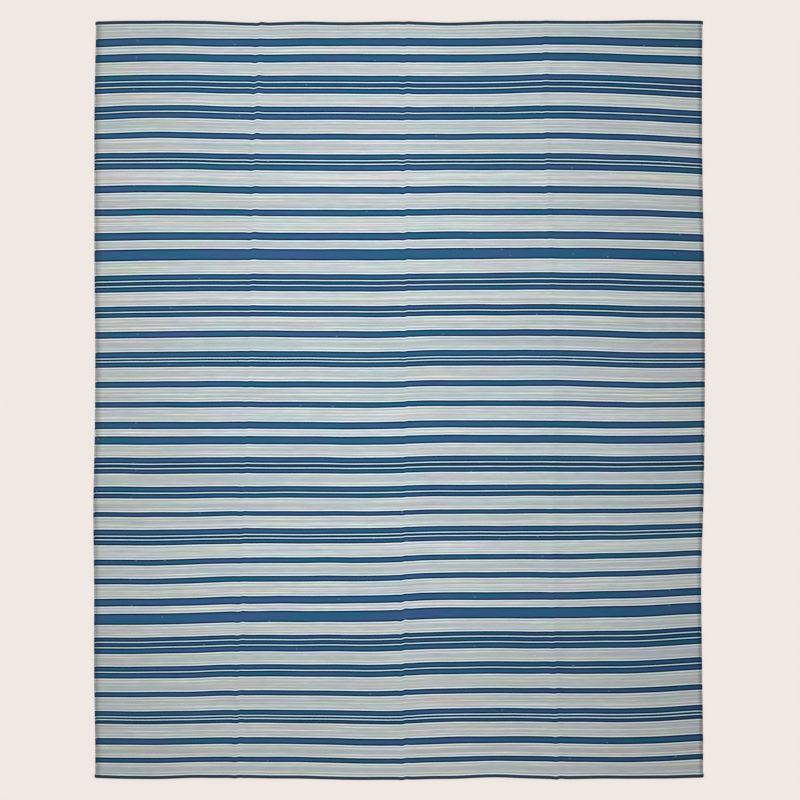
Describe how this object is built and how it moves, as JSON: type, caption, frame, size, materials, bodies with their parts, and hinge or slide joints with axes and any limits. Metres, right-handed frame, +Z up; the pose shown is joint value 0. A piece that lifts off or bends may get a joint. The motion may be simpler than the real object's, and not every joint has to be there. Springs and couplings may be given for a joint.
{
  "type": "camp blanket",
  "caption": "Flat-woven striped cotton blanket laid out flat, with corded selvedges and tape-bound, stitched ends.",
  "frame": {"origin": "on the surface the blanket lies on, under the middle of the cloth", "axes": "+Z up out of the face of the cloth, +Y along the warp towards the head binding, +X along the stripes towards the right selvedge"},
  "size_m": [1.6364, 2.032, 0.004],
  "materials": {
    "field_cloth": "matte",
    "selvedge_cord": "matte",
    "binding_tape": "matte",
    "sewing_thread": "matte"
  },
  "bodies": {
    "root": {"woven_field": "field_cloth", "left_selvedge": "selvedge_cord", "right_selvedge": "selvedge_cord", "head_binding": "binding_tape", "foot_binding": "binding_tape", "head_needle_thread": "sewing_thread", "head_bobbin_thread": "sewing_thread", "foot_needle_thread": "sewing_thread", "foot_bobbin_thread": "sewing_thread"}
  },
  "joints": []
}
